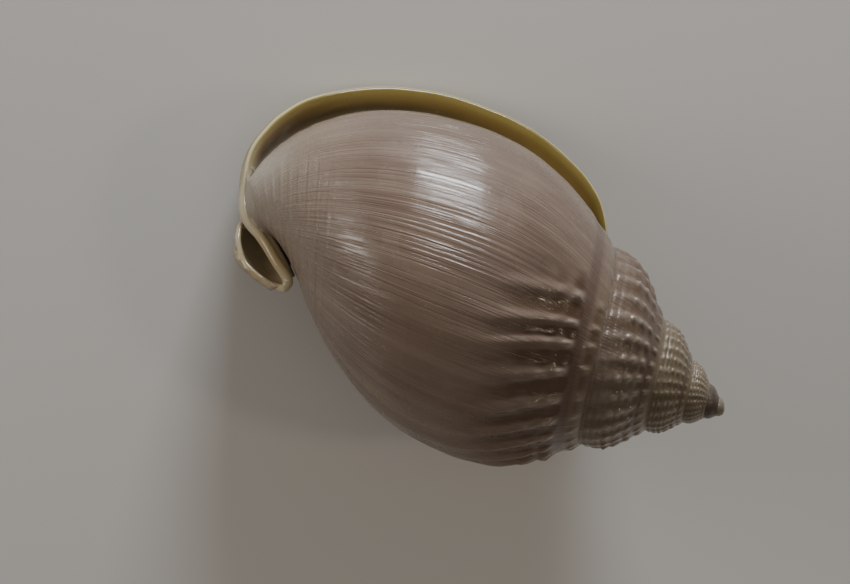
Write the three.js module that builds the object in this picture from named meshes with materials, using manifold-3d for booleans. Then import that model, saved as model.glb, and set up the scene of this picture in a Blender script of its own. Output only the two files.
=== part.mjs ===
// Bonnet shell, one closed solid, in millimetres.
// The shell's axis lies along X with the apex toward +X. The lip is on the +Y side and the back is up.
// "Height" is measured along the axis from the apex end, and "turn" counts whorls of growth:
// turn 0 is on the lip side, and a quarter turn earlier is on the back.

import * as THREE from 'three';
import Module from 'manifold-3d';

const wasm = await Module();
wasm.setup();

// Spiral of the suture at turn 0, and how much it grows in one whorl.
const sutureHeight = 31.9;
const sutureRadius = 20.95;
const heightGrowth = 1.745;
const radiusGrowth = 1.78;
const firstTurn = -5.5;
const lipTurn = 0.085;
const apexHeight = 1.2;

// Body whorl at turn 0: where it is widest, and how far it reaches toward the apex from there.
const bodyMiddle = 61.6;
const bodyRadius = 32.65;
const bodyBack = 39.6;
const middleGrowth = 1.732;
const bodyRadiusGrowth = 1.53;
const backGrowth = 1.742;
const spireSwell = 1.8;

// Base of the body whorl: height of its tip and how blunt it is, early and at the lip.
const earlyTip = 88.1;
const lateTip = 100.3;
const earlyBluntness = 0.85;
const lateBluntness = 0.42;
const baseEndAngle = 80 * Math.PI / 180;

// Relief: folds, bead rows, the cord below the suture and the channel beside it.
const foldsPerTurn = 28;
const foldSlant = 0.042;
const foldHeight = 0.9;
const beadHeight = 0.5;
const beadRows = [0.235, 0.405, 0.535];
const beadWidth = 0.038;
const cordPlace = 0.045;
const cordHeight = 0.4;
const channelPlace = 0.12;
const channelDepth = 0.5;

// Wall of the last whorl, and the turns between which it is hollow.
const wall = 2.0;
const hollowFrom = -0.56;
const hollowTo = 0.14;
const hollowSteps = 20;
const hollowSides = 9;

// Edge of the mouth: the outermost line of the rolled lip, from the suture round to the canal, then
// round the canal's end, back along its left edge and down to the columella.
// Each stop has height, y, z, the way the mouth faces there, the size of the edge in mm, and how far
// it is rolled outward: 1 is the lip's full roll and 0 a round bead.
const rimStops = [
  { at: [35.0, 15.5, -13.0], faces: [0.1, -0.6, -0.8], size: 2.6, roll: 1 },
  { at: [33.2, 21.3, -11.5], faces: [0.1, -0.5, -0.85], size: 3.6, roll: 1 },
  { at: [36.2, 27.3, -12.0], faces: [0.1, -0.5, -0.85], size: 5.3, roll: 1 },
  { at: [41.0, 31.3, -13.0], faces: [0, -0.5, -0.87], size: 6.7, roll: 1 },
  { at: [52.3, 35.8, -15.5], faces: [0, -0.5, -0.87], size: 8.2, roll: 1 },
  { at: [65.0, 36.9, -16.6], faces: [0, -0.5, -0.87], size: 8.6, roll: 1 },
  { at: [76.1, 35.5, -16.0], faces: [0, -0.5, -0.87], size: 8.6, roll: 1 },
  { at: [88.6, 30.7, -14.0], faces: [0, -0.45, -0.87], size: 8.2, roll: 1 },
  { at: [97.8, 23.4, -11.5], faces: [-0.2, -0.35, -0.87], size: 7.6, roll: 1 },
  { at: [101.8, 13.8, -7.5], faces: [-0.5, -0.3, -0.8], size: 5.6, roll: 0.8 },
  { at: [100.4, 6.6, -3.8], faces: [-0.8, -0.4, -0.4], size: 3.4, roll: 0.4 },
  { at: [97.4, 1.6, 0.4], faces: [-0.7, -0.6, 0.4], size: 2.3, roll: 0 },
  { at: [93.6, -0.4, 3.6], faces: [-0.5, -0.5, 0.7], size: 2.1, roll: 0 },
  { at: [88.6, -3.9, 5.8], faces: [-0.35, -0.5, 0.8], size: 2.2, roll: 0 },
  { at: [84.9, -6.9, 6.5], faces: [-0.1, -0.5, 0.85], size: 2.3, roll: 0 },
  { at: [85.3, -9.0, 5.8], faces: [-0.1, -0.5, 0.85], size: 2.3, roll: 0 },
  { at: [88.3, -9.5, 4.3], faces: [-0.2, 0, 1], size: 1.8, roll: 0 },
  { at: [95.0, -7.4, 1.8], faces: [-0.4, 0, 0.9], size: 1.7, roll: 0 },
  { at: [98.0, -3.0, -1.0], faces: [-0.8, 0, 0.6], size: 1.7, roll: 0 },
  { at: [97.4, 0.6, -4.8], faces: [-1, 0.1, 0], size: 1.7, roll: 0 },
  { at: [92.0, 1.2, -9.2], faces: [-0.6, 0.2, -0.7], size: 1.7, roll: 0 },
  { at: [85.0, 1.4, -9.0], faces: [-0.2, 0.3, -0.9], size: 1.0, roll: 0 },
];
const rimSteps = 56;

// Section of the rolled lip for a size of 1: first the way the mouth faces, second outward from the
// crest. The same number of points goes round the bead.
const rollSection = [
  [0, 0], [-0.1, -0.12], [-0.13, -0.36], [-0.24, -0.6], [-0.48, -0.84], [-0.78, -1.06],
  [-0.3, -1.12], [0.16, -1.0], [0.42, -0.9], [0.5, -0.62], [0.4, -0.3], [0.17, -0.05],
];

// Canal: a trough whose right edge is the rim. Each stop has the rim, the floor and the left edge.
const canalStops = [
  { rim: [95.0, 13.5, -11.0], floor: [89.5, 7.0, -4.0], edge: [80.0, 3.5, -11.5] },
  { rim: [98.6, 7.6, -6.6], floor: [93.5, 4.5, -2.8], edge: [90.5, 1.6, -9.4] },
  { rim: [96.8, 1.9, -1.0], floor: [92.5, 1.0, -3.0], edge: [96.6, 0.0, -4.6] },
  { rim: [93.6, -0.8, 2.6], floor: [91.2, -2.4, -2.6], edge: [96.4, -5.6, 0.6] },
  { rim: [88.8, -4.4, 4.8], floor: [88.6, -5.2, -0.4], edge: [91.0, -8.2, 2.9] },
  { rim: [86.0, -7.0, 5.3], floor: [86.2, -7.2, 3.0], edge: [87.4, -8.9, 4.8] },
];
const canalWall = 1.3;
const canalSteps = 13;
const canalSides = 9;

// Shield: a callus over the belly beside the mouth, which swells into the columella at the front.
const shieldThickness = 1.3;
const shieldEdge = 0.5;
const shieldColumella = 5.2;
const shieldFrom = -1.0;
const shieldThinsFrom = -0.86;
const shieldTo = -0.685;
const shieldStart = 0.92;
const shieldEnd = 1.97;
const shieldTurnSteps = 9;
const shieldPlaceSteps = 10;
const shieldClearance = 0.03;

// Rest: the way up when the shell lies on its mouth, and how deep its lowest places are worn flat.
const restUp = [0.18, -0.03, 1];
const wornFlat = 0.36;

// Base: from the end of the body whorl the wall runs on to the right edge of the canal. The numbers
// count stops of the rim, at the lip and for each turn before it.
const baseAtLip = 9.2;
const basePerTurn = 8.8;
const baseFirstTurn = -0.46;
const baseBlend = 0.16;
const baseTuck = 0.3;
const columellaFoot = [90, -1, -3];

// Counts along the growth and across it.
const bandPlaces = [0, 0.045, 0.12, 0.235, 0.32, 0.405, 0.535, 0.66, 0.82];
const basePlaces = [0.25, 0.6, 1];
const baseRows = 8;
const lateSteps = 84;
const baseSteps = 38;
const weld = 0.002;

const smooth = (from, to, value) => THREE.MathUtils.smoothstep(value, from, to);
const mix = (a, b, share) => a + (b - a) * share;
const hump = (value, middle, width) => Math.exp(-(((value - middle) / width) ** 2));

// A dimension that grows at one rate on the spire and at another on the body whorl.
function grown(atTurnZero, bodyRate, spireRate, turn) {
  if (turn > -1) return atTurnZero * bodyRate ** turn;
  return atTurnZero / bodyRate * spireRate ** (turn + 1);
}

function suture(turn) {
  return { h: sutureHeight * heightGrowth ** turn, r: sutureRadius * radiusGrowth ** turn };
}

// The round of one whorl, as radius against height, before it is fitted to its sutures.
function whorlRound(turn) {
  const middle = grown(bodyMiddle, middleGrowth, heightGrowth, turn);
  const widest = grown(bodyRadius, bodyRadiusGrowth, radiusGrowth, turn);
  const back = grown(bodyBack, backGrowth, heightGrowth, turn);
  const tip = turn > -1 ? mix(earlyTip, lateTip, smooth(-0.45, 0.02, turn)) : middle + 2 * back;
  const bluntness = mix(earlyBluntness, lateBluntness, smooth(-0.5, 0, turn));
  const front = tip - middle;
  const radiusAt = (h) => {
    const u = Math.min(Math.max((h - middle) / (h < middle ? back : front), -1), 1);
    return widest * (1 - u * u) ** (h < middle ? 0.5 : bluntness);
  };
  return { middle, back, front, radiusAt };
}

// Point of a whorl's outline. Place 0 is its own suture, 1 the next one, 2 the end of the base.
function outline(turn, place) {
  const own = suture(turn);
  const next = suture(turn + 1);
  const round = whorlRound(turn);
  let h = mix(own.h, next.h, place);
  if (place > 1) {
    const startAngle = Math.asin((next.h - round.middle) / (next.h < round.middle ? round.back : round.front));
    const u = Math.sin(mix(startAngle, baseEndAngle, place - 1));
    h = round.middle + u * (u < 0 ? round.back : round.front);
  }
  const inBand = Math.min(place, 1);
  const nearOwn = (1 - inBand) ** 2 * (1 + 2 * inBand);
  const nearNext = inBand ** 2 * (3 - 2 * inBand) * (1 - smooth(1, 1.5, place));
  const covered = 1 - smooth(lipTurn - 1, lipTurn - 0.8, turn);
  const swell = spireSwell * heightGrowth ** turn * Math.sin(Math.PI * inBand) ** 2 * covered;
  const r = round.radiusAt(h) + swell
    + (own.r - round.radiusAt(own.h)) * nearOwn
    + (next.r - round.radiusAt(next.h)) * nearNext * covered;
  return { h, r };
}

function curveThrough(stops) {
  const points = stops.map(([h, y, z]) => new THREE.Vector3(-h, y, z));
  return new THREE.CatmullRomCurve3(points, false, 'centripetal');
}

// A number that follows its stops along a curve, from 0 to 1.
function between(values, along) {
  const place = along * (values.length - 1);
  const k = Math.min(Math.floor(place), values.length - 2);
  return mix(values[k], values[k + 1], place - k);
}

const rimCrest = curveThrough(rimStops.map((stop) => stop.at));
const rimFacing = [0, 1, 2].map((axis) => rimStops.map((stop) => stop.faces[axis]));
const rimSizes = rimStops.map((stop) => stop.size);
const rimRolls = rimStops.map((stop) => stop.roll);

// The edge of the mouth at one place along it: its crest, the way it faces and the way outward.
function rimAt(along) {
  const crest = rimCrest.getPoint(along);
  const ahead = rimCrest.getTangent(along);
  const faces = new THREE.Vector3(...rimFacing.map((values) => between(values, along)));
  faces.addScaledVector(ahead, -faces.dot(ahead)).normalize();
  const outward = faces.clone().cross(ahead);
  return { crest, faces, outward, size: between(rimSizes, along), roll: between(rimRolls, along) };
}

// Height of the relief above the plain whorl.
function relief(turn, place) {
  const size = heightGrowth ** turn;
  const wave = Math.cos(2 * Math.PI * foldsPerTurn * (turn + foldSlant * place));
  const grownOn = smooth(-3.6, -3.3, turn);
  const present = grownOn * (1 - smooth(-0.24, -0.11, turn));
  const reach = smooth(0.13, 0.22, place) * (1 - smooth(0.62, 0.92, place));
  const folds = foldHeight * present * reach * (0.5 * wave + 0.1);
  let beads = 0;
  for (const row of beadRows) {
    beads += beadHeight * present * hump(place, row, beadWidth) * Math.max(wave, -0.2);
  }
  const cord = cordHeight * grownOn * hump(place, cordPlace, 0.03) * (1 + 0.3 * wave * present);
  const channel = channelDepth * grownOn * hump(place, channelPlace, 0.04);
  return place > 0 ? size * (folds + beads + cord - channel) : 0;
}

function around(h, r, turn) {
  const angle = -2 * Math.PI * turn;
  return [-h, r * Math.cos(angle), r * Math.sin(angle)];
}

function shellPoint(turn, place) {
  const { h, r } = outline(turn, place);
  return around(h, r + relief(turn, place), turn);
}

// Point of the base between the end of the body whorl, at share 0, and the canal's right edge, at 1.
function basePoint(turn, share) {
  const body = new THREE.Vector3(...shellPoint(turn, 2));
  const stop = baseAtLip + basePerTurn * (lipTurn - Math.max(turn, baseFirstTurn));
  const { crest, outward, size, roll } = rimAt(stop / (rimStops.length - 1));
  const edge = crest.addScaledVector(outward, -baseTuck * size * (1 - roll));
  edge.lerp(new THREE.Vector3(-earlyTip, 0, 0), 1 - smooth(baseFirstTurn - baseBlend, baseFirstTurn, turn));
  return body.lerp(edge, share).toArray();
}

// Outline moved square to itself by a distance, outward if it is positive.
function outlineMoved(turn, place, distance) {
  const step = 0.01;
  const before = outline(turn, place - step);
  const after = outline(turn, place + step);
  const here = outline(turn, place);
  const length = Math.hypot(after.h - before.h, after.r - before.r);
  const h = here.h - distance * (after.r - before.r) / length;
  const r = here.r + distance * (after.h - before.h) / length;
  return { h, r: Math.max(r, 0.8) };
}

// A mesh that is filled point by point, and the solid made of it.
class Sheet {
  constructor() {
    this.points = [];
    this.triangles = [];
    this.known = new Map();
  }

  // A point that is already there keeps its number.
  add(point) {
    const key = point.map((value) => value.toFixed(4)).join(' ');
    if (!this.known.has(key)) {
      this.known.set(key, this.points.length / 3);
      this.points.push(...point);
    }
    return this.known.get(key);
  }

  triangle(a, b, c) {
    if (a !== b && b !== c && c !== a) this.triangles.push(a, b, c);
  }

  // Fills between two rows of { at, id } whose counts may differ.
  stitch(rowA, rowB) {
    let i = 0;
    let j = 0;
    while (i < rowA.length - 1 || j < rowB.length - 1) {
      const nextA = i < rowA.length - 1 ? rowA[i + 1].at : Infinity;
      const nextB = j < rowB.length - 1 ? rowB[j + 1].at : Infinity;
      if (nextA < nextB) {
        this.triangle(rowA[i].id, rowA[i + 1].id, rowB[j].id);
        i += 1;
      } else {
        this.triangle(rowA[i].id, rowB[j + 1].id, rowB[j].id);
        j += 1;
      }
    }
  }

  // Closed loops of equal count joined in order, with a flat lid at each end.
  static ofLoops(loops) {
    const sheet = new Sheet();
    const ids = loops.map((loop) => loop.map((point) => sheet.add(point)));
    const sides = loops[0].length;
    for (let k = 0; k < loops.length - 1; k += 1) {
      for (let i = 0; i < sides; i += 1) {
        const n = (i + 1) % sides;
        sheet.triangle(ids[k][i], ids[k][n], ids[k + 1][n]);
        sheet.triangle(ids[k][i], ids[k + 1][n], ids[k + 1][i]);
      }
    }
    const last = loops.length - 1;
    for (const [a, b, c] of lid(loops[0])) sheet.triangle(ids[0][a], ids[0][c], ids[0][b]);
    for (const [a, b, c] of lid(loops[last])) sheet.triangle(ids[last][a], ids[last][b], ids[last][c]);
    return sheet;
  }

  solid() {
    const turned = signedVolume(this.points, this.triangles) < 0;
    const triangles = [];
    for (let k = 0; k < this.triangles.length; k += 3) {
      const [a, b, c] = this.triangles.slice(k, k + 3);
      triangles.push(a, ...(turned ? [c, b] : [b, c]));
    }
    return new wasm.Manifold(new wasm.Mesh({
      numProp: 3,
      vertProperties: new Float32Array(this.points),
      triVerts: new Uint32Array(triangles),
    }));
  }
}

// Triangles of one loop, found in the plane it lies nearest to.
function lid(loop) {
  const origin = new THREE.Vector3(...loop[0]);
  const rest = loop.map((point) => new THREE.Vector3(...point).sub(origin));
  const normal = new THREE.Vector3();
  rest.forEach((point, i) => normal.add(point.clone().cross(rest[(i + 1) % rest.length])));
  normal.normalize();
  const across = rest[Math.floor(rest.length / 2)].clone().projectOnPlane(normal).normalize();
  const other = normal.clone().cross(across);
  const flat = rest.map((point) => new THREE.Vector2(point.dot(across), point.dot(other)));
  return THREE.ShapeUtils.triangulateShape(flat, []);
}

function signedVolume(points, triangles) {
  const corner = (k) => new THREE.Vector3().fromArray(points, 3 * triangles[k]);
  let volume = 0;
  for (let k = 0; k < triangles.length; k += 3) {
    volume += corner(k).dot(corner(k + 1).cross(corner(k + 2))) / 6;
  }
  return volume;
}

// Steps of growth, coarse at the apex and as fine as the folds need on the last whorls.
function growthSteps() {
  const stretches = [
    { from: firstTurn, to: -4, perTurn: 12 },
    { from: -4, to: -3, perTurn: 20 },
    { from: -3, to: -2, perTurn: 28 },
    { from: -2, to: lipTurn, perTurn: lateSteps },
  ];
  const turns = [firstTurn];
  for (const { from, to, perTurn } of stretches) {
    const count = Math.round((to - from) * perTurn);
    for (let k = 1; k <= count; k += 1) turns.push(Math.min(from + k / perTurn, to));
  }
  turns[turns.length - 1] = lipTurn;
  return turns;
}

// The outside of all whorls, closed flat in the plane of the lip.
function whorls() {
  const sheet = new Sheet();
  const steps = growthSteps();
  const lastWhorlStart = lipTurn - 1;
  const apex = sheet.add([-apexHeight, 0, 0]);
  const foot = sheet.add([-columellaFoot[0], columellaFoot[1], columellaFoot[2]]);

  // A row runs along the growth, with its points slid back so that each fold keeps its own column.
  const row = (place, from) => {
    const slid = steps.map((turn) => turn - foldSlant * place).filter((turn) => turn > from + 0.002);
    const turns = [from, ...slid.filter((turn) => turn < lipTurn - 0.002), lipTurn];
    if (from < lastWhorlStart) turns.push(lastWhorlStart);
    turns.sort((a, b) => a - b);
    return turns.map((turn) => ({ at: turn, id: sheet.add(shellPoint(turn, place)) }));
  };

  const sutureRow = row(0, firstTurn + 1);
  const rows = [[{ at: firstTurn, id: apex }, ...sutureRow]];
  for (const place of bandPlaces.slice(1)) rows.push(row(place, firstTurn));
  const nextSuture = sutureRow.map(({ at, id }) => ({ at: at - 1, id }));
  rows.push([...nextSuture, ...row(1, lastWhorlStart).slice(1)]);

  const bands = bandPlaces.length;
  for (let k = 0; k < bands; k += 1) sheet.stitch(rows[k], rows[k + 1]);

  // From the next suture's line to the base, on the last whorl only.
  const baseTurns = [];
  for (let k = 0; k <= baseSteps; k += 1) baseTurns.push(k < baseSteps ? lastWhorlStart + k / baseSteps : lipTurn);
  const baseRow = (place) => baseTurns.map((turn) => ({ at: turn, id: sheet.add(shellPoint(turn, place)) }));
  const base = [rows[bands].filter(({ at }) => at >= lastWhorlStart - 1e-9)];
  for (let k = 1; k <= baseRows; k += 1) base.push(baseRow(1 + k / baseRows));
  for (const share of basePlaces) {
    base.push(baseTurns.map((turn) => ({ at: turn, id: sheet.add(basePoint(turn, share)) })));
  }
  for (let k = 0; k < base.length - 1; k += 1) sheet.stitch(base[k], base[k + 1]);
  sheet.stitch(base[base.length - 1], [{ at: lastWhorlStart, id: foot }]);

  // The small flat face where the first whorl begins.
  for (let k = 1; k < bands; k += 1) sheet.triangle(apex, rows[k][0].id, rows[k + 1][0].id);

  // The flat face in the plane of the lip, between the last whorl's end and its start.
  const endOf = (list) => list[list.length - 1].id;
  const over = [...rows.slice(0, bands + 1), ...base.slice(1)].map(endOf);
  const under = base.map((list) => list[0].id);
  const spread = (ids) => [...ids, foot].map((id, k) => ({ at: k / ids.length, id }));
  sheet.stitch(spread(under), spread(over));
  return sheet.solid();
}

// How thick the shield lies over the earlier shell.
function callus(turn, place) {
  const across = THREE.MathUtils.clamp((turn - shieldFrom) / (shieldTo - shieldFrom), 0, 1);
  const thin = mix(shieldThickness, shieldEdge, smooth(shieldThinsFrom, shieldTo, turn));
  const swell = smooth(1.6, 1.95, place) * Math.sin(Math.PI * across) ** 0.6;
  return thin * smooth(shieldStart, shieldStart + 0.18, place) + shieldColumella * swell;
}

// The hollow of the last whorl, from deep inside out past the lip. Its inner side lies on the shield.
function hollow() {
  const loops = [];
  const placeStep = (shieldEnd - shieldStart) / shieldPlaceSteps;
  for (let k = 0; k <= hollowSteps; k += 1) {
    const turn = mix(hollowFrom, hollowTo, k / hollowSteps);
    const shut = 1 - smooth(0, 0.3, k / hollowSteps);
    const loop = [];
    for (let i = 0; i <= hollowSides; i += 1) {
      const place = mix(mix(0.16, 0.6, shut), mix(1.985, 1.6, shut), i / hollowSides);
      const { h, r } = outlineMoved(turn, place, -wall - 2 * shut);
      loop.push(around(h, r, turn));
    }
    for (let i = shieldPlaceSteps; i >= 2; i -= 1) {
      const place = mix(shieldStart + i * placeStep, 1.3 + 0.02 * i, shut);
      const above = callus(turn - 1, place) + shieldClearance + 2 * shut;
      const { h, r } = outlineMoved(turn - 1, place, above);
      loop.push(around(h, r, turn));
    }
    loops.push(loop);
  }
  return Sheet.ofLoops(loops).solid();
}

// The rolled lip and, past it, the bead round the canal.
function rim() {
  const loops = [];
  for (let k = 0; k <= rimSteps; k += 1) {
    const { crest, faces, outward, size, roll } = rimAt(k / rimSteps);
    loops.push(rollSection.map(([forward, out], i) => {
      const angle = 2 * Math.PI * i / rollSection.length;
      const bead = [-0.42 * Math.sin(angle), -0.5 + 0.5 * Math.cos(angle)];
      return crest.clone()
        .addScaledVector(faces, size * mix(bead[0], forward, roll))
        .addScaledVector(outward, size * mix(bead[1], out, roll)).toArray();
    }));
  }
  return Sheet.ofLoops(loops).solid();
}

// The canal as its outer trough, or as the space inside it.
function canal(inside) {
  const rimLine = curveThrough(canalStops.map((stop) => stop.rim));
  const floorLine = curveThrough(canalStops.map((stop) => stop.floor));
  const edgeLine = curveThrough(canalStops.map((stop) => stop.edge));
  const loops = [];
  for (let k = 0; k <= canalSteps; k += 1) {
    const along = k / canalSteps;
    const right = rimLine.getPoint(along);
    const left = edgeLine.getPoint(along);
    const middle = right.clone().add(left).multiplyScalar(0.5);
    const half = right.clone().sub(middle);
    const deep = floorLine.getPoint(along).sub(middle);
    const closing = Math.sqrt(Math.max(1 - along ** 6, 0.05));
    const widen = inside ? closing : 1 + canalWall / half.length();
    const deepen = inside ? closing : 1 + canalWall / deep.length();
    const loop = [];
    for (let i = 0; i <= canalSides; i += 1) {
      const angle = Math.PI * i / canalSides;
      loop.push(middle.clone()
        .addScaledVector(half, widen * Math.cos(angle))
        .addScaledVector(deep, deepen * Math.sin(angle)).toArray());
    }
    const open = deep.clone().normalize().multiplyScalar(inside ? -2.5 : -0.8);
    loop.push(middle.clone().addScaledVector(half, -0.8).add(open).toArray());
    loop.push(middle.clone().addScaledVector(half, 0.8).add(open).toArray());
    loops.push(loop);
  }
  return Sheet.ofLoops(loops).solid();
}

// The shield over the belly, with the columella at its front.
function shield() {
  const loops = [];
  for (let k = 0; k <= shieldPlaceSteps; k += 1) {
    const place = mix(shieldStart, shieldEnd, k / shieldPlaceSteps);
    const top = [];
    const under = [];
    for (let i = 0; i <= shieldTurnSteps; i += 1) {
      const turn = mix(shieldFrom, shieldTo, i / shieldTurnSteps);
      const over = outlineMoved(turn, place, callus(turn, place));
      const below = outlineMoved(turn, place, -1);
      top.push(around(over.h, over.r, turn));
      under.push(around(below.h, Math.min(below.r, over.r - 0.4), turn));
    }
    loops.push([...top, ...under.reverse()]);
  }
  return Sheet.ofLoops(loops).solid();
}

const open = whorls().add(canal(false)).add(shield()).subtract(canal(true));
const whole = open.add(rim()).subtract(hollow());
const rest = new THREE.Quaternion().setFromUnitVectors(
  new THREE.Vector3(...restUp).normalize(),
  new THREE.Vector3(0, 0, 1),
);

// Groups that are joined pair by pair. The root of a member names its group.
class Groups {
  constructor(count) {
    this.parent = Array.from({ length: count }, (_, k) => k);
  }

  root(k) {
    let top = k;
    while (this.parent[top] !== top) top = this.parent[top];
    this.parent[k] = top;
    return top;
  }

  join(a, b) {
    this.parent[this.root(a)] = this.root(b);
  }
}

// Surface of a solid, with corners closer than the weld made one and loose slivers left off.
function toGeometry(solid) {
  const { vertProperties, triVerts } = solid.getMesh();
  const count = vertProperties.length / 3;
  const corner = (k) => new THREE.Vector3().fromArray(vertProperties, 3 * k);
  const sides = [];
  for (let k = 0; k < triVerts.length; k += 3) sides.push(Array.from(triVerts.slice(k, k + 3)));

  const corners = new Groups(count);
  for (const [a, b, c] of sides) {
    for (const [one, other] of [[a, b], [b, c], [c, a]]) {
      if (corner(one).distanceTo(corner(other)) < weld) corners.join(one, other);
    }
  }
  const welded = sides.map((side) => side.map((k) => corners.root(k)))
    .filter(([a, b, c]) => a !== b && b !== c && c !== a);

  const pieces = new Groups(welded.length);
  const seen = new Map();
  welded.forEach(([a, b, c], k) => {
    for (const [one, other] of [[a, b], [b, c], [c, a]]) {
      const edge = [one, other].sort().join(' ');
      if (seen.has(edge)) pieces.join(k, seen.get(edge));
      seen.set(edge, k);
    }
  });
  const sizes = new Map();
  welded.forEach((side, k) => sizes.set(pieces.root(k), (sizes.get(pieces.root(k)) ?? 0) + 1));
  const largest = [...sizes].reduce((one, other) => (one[1] > other[1] ? one : other))[0];

  const geometry = new THREE.BufferGeometry();
  geometry.setAttribute('position', new THREE.BufferAttribute(vertProperties, 3));
  geometry.setIndex(welded.filter((side, k) => pieces.root(k) === largest).flat());
  geometry.computeVertexNormals();
  return geometry;
}

// Everything below the worn flats, as a slab in the shell's own directions.
function belowFlats(solid) {
  const turned = toGeometry(solid).applyQuaternion(rest);
  turned.computeBoundingBox();
  const floor = turned.boundingBox.min.z;
  const { min, max } = turned.boundingBox.expandByScalar(5);
  const plan = [[min.x, min.y], [max.x, min.y], [max.x, max.y], [min.x, max.y]];
  const back = rest.clone().invert();
  const corners = (z) => plan.map(([x, y]) => new THREE.Vector3(x, y, z).applyQuaternion(back).toArray());
  return Sheet.ofLoops([corners(min.z), corners(floor + wornFlat)]).solid();
}

const material = new THREE.MeshStandardMaterial({ color: 0xa39287, roughness: 0.35, metalness: 0 });
const shell = new THREE.Mesh(toGeometry(whole.subtract(belowFlats(whole))), material);
shell.name = 'shell';
shell.quaternion.copy(rest);

// The origin is under the middle of the shell, on the ground.
const box = new THREE.Box3().setFromObject(shell, true);
shell.position.set(-(box.min.x + box.max.x) / 2, -(box.min.y + box.max.y) / 2, -box.min.z);

const group = new THREE.Group();
group.add(shell);

export default group;
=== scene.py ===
# Bonnet shell: the fine surface, the finish, the floor, the lights and the camera.
import math
import bpy
import numpy as np
from mathutils import Matrix, Vector, kdtree, noise


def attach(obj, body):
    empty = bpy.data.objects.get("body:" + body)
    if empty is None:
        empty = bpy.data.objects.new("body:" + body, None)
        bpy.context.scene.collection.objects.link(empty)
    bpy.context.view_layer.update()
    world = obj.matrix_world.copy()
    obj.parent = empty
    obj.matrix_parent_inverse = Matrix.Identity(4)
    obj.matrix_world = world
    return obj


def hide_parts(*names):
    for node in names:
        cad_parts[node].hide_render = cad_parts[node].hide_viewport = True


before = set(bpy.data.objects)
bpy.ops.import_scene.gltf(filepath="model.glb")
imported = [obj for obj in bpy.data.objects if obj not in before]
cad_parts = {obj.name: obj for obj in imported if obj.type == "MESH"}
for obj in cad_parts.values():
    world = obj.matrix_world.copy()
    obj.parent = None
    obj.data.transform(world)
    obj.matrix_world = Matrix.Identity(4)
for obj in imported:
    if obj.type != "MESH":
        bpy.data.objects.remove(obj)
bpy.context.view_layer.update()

# The shell's own directions: apex along +X, lip on +Y, back up. Millimetres, as it was drawn.
# "turn" counts whorls of growth. "place" runs from one suture, 0, to the next, 1, and on to the base, 2.
shell = {
    "sutureHeight": 31.9, "sutureRadius": 20.95,   # the suture at turn 0, from the apex and from the axis
    "heightGrowth": 1.745, "radiusGrowth": 1.78,   # times larger with each turn
    "firstTurn": -5.5, "lipTurn": 0.085, "apexHeight": 1.45,
    "bodyMiddle": 61.6, "bodyRadius": 32.65, "bodyBack": 39.6,
    "middleGrowth": 1.732, "bodyRadiusGrowth": 1.53, "backGrowth": 1.742, "spireSwell": 1.8,
    "earlyTip": 88.1, "lateTip": 100.3, "earlyBluntness": 0.85, "lateBluntness": 0.42, "baseEndAngle": 80,
    "foldsPerTurn": 28, "foldSlant": 0.042,        # how far a fold leans across one whorl, in turns
    "wall": 2.0,
    "baseAtLip": 9.2, "basePerTurn": 8.8, "baseFirstTurn": -0.46, "baseBlend": 0.16, "baseTuck": 0.3,
    "columellaFoot": (90, -1, -3),
    "restUp": (0.18, -0.03, 1.0),                  # the way that is up when it lies at rest
}

# Fine relief that only the looks need, in millimetres. Pairs called turns or places are where something
# begins and where it is full.
fineRelief = {
    "uneven": 0.16, "unevenSize": 9.0,      # slow unevenness of the whole surface
    "growthStep": 0.05, "growthSteps": 46,  # rest marks of growth, per turn
    "baseCords": 0.1, "baseCordCount": 22,  # spiral cords on the base near the canal
    "baseCordPlaces": (1.5, 1.68), "baseCordTurns": (-0.5, -0.38),
    "spiralCount": 9, "spiralDepth": 0.16,  # fine grooves round the spire, across one whorl
    "spiralTurns": (-3.7, -3.3, -1.15, -0.95), "spiralPlaces": (0.14, 0.2),
    "bodyTurns": (-1.2, -0.8),              # where the spire becomes the body whorl
    "foldsFrom": (-3.6, -3.3), "foldsTo": (-0.19, -0.12),
    "foldPlaces": (0.2, 0.27), "foldFadesFrom": 0.55,
    "foldRunOut": (1.25, 1.65),             # where the folds end on the body whorl, on top and below
    "foldRunOutTurns": (-0.3, -0.6), "spireRunOut": 1.2,
    "foldHeight": 1.25, "foldLift": -0.07,
    "foldSharpness": (1.2, 2.2),            # on the spire and on the body whorl
    "shoulderFolds": 0.4, "shoulder": (0.34, 0.44),
    "spireFolds": 0.45, "spireFoldTurns": (-1.25, -0.9),
    "beadHeight": 0.85, "beadWidth": 0.042, "beadValley": 0.15,
    "seamHeight": 0.12, "seamPlace": 0.055, "seamWidth": 0.035,
    "channelDepth": (0.15, 0.3),            # on the spire and on the body whorl
    "channelPlace": 0.175, "channelWidth": 0.06,
}
latestFolds = [-0.313, -0.268, -0.230, -0.206, -0.169]  # where the last folds begin, in turns
# Rows of beads: place on the spire and on the body whorl, then strength on the body whorl, on the spire
# and on the early whorls.
beadRows = [
    (0.1, 0.06, 0.6, 1, 0.8), (0.25, 0.285, 1.1, 1, 1), (0.41, 0.46, 0.4, 1, 1),
    (0.57, 0.66, 0.1, 1, 1), (0.73, 0.8, 0, 0.25, 0.8), (0.89, 0.95, 0, 0.25, 0.8),
]

# How finely each surface is divided.
fineness = {
    "late": 336, "third": 224, "fourth": 140, "early": 60,
    "bandRows": 56, "baseRows": 34, "tuckRows": 8, "baseSteps": 224,
    "rimSteps": 300, "sectionSteps": 40, "canalSteps": 56, "canalSides": 30,
    "shieldTurns": 45, "shieldPlaces": 50, "hollowSteps": 100, "hollowSides": 45,
}

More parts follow.
